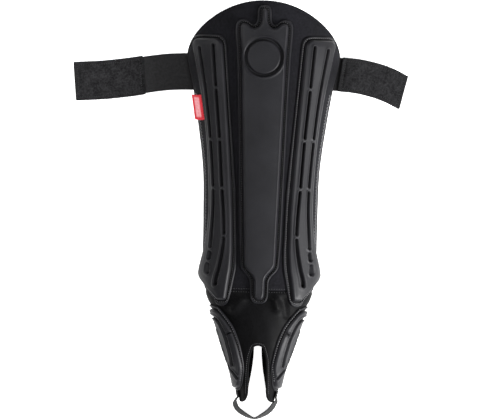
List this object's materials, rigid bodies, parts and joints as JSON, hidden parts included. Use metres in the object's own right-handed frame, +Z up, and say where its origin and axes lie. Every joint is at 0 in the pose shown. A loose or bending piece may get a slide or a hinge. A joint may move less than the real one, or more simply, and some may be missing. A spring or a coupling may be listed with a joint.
{
  "type": "shin and ankle guard",
  "caption": "Padded sport guard for the shin and ankle: domed sleeve open at the back, moulded foam plates, side straps and a stirrup for the foot.",
  "frame": {"origin": "middle of the whole piece's box, on the surface it lies on", "axes": "+X to the right as the front is seen, +Y towards the knee, +Z up out of the front"},
  "size_m": [0.358, 0.4486, 0.0664],
  "materials": {
    "sleeve": "black knitted cover on foam rubber",
    "pad": "black moulded foam with a smooth laminated cover",
    "elastic": "black woven elastic",
    "tape": "black hook-and-loop tape",
    "stirrup": "dark grey woven elastic",
    "tag": "red woven label, plain"
  },
  "bodies": {
    "root": {"shin_sleeve": "sleeve", "ankle_sleeve": "sleeve", "center_pad": "pad", "side_pad_left": "pad", "ankle_pad_left": "pad", "strap_left_elastic": "elastic", "strap_left_tape": "tape", "side_pad_right": "pad", "ankle_pad_right": "pad", "strap_right_elastic": "elastic", "strap_right_tape": "tape", "stirrup": "stirrup", "side_tag": "tag"}
  },
  "joints": []
}
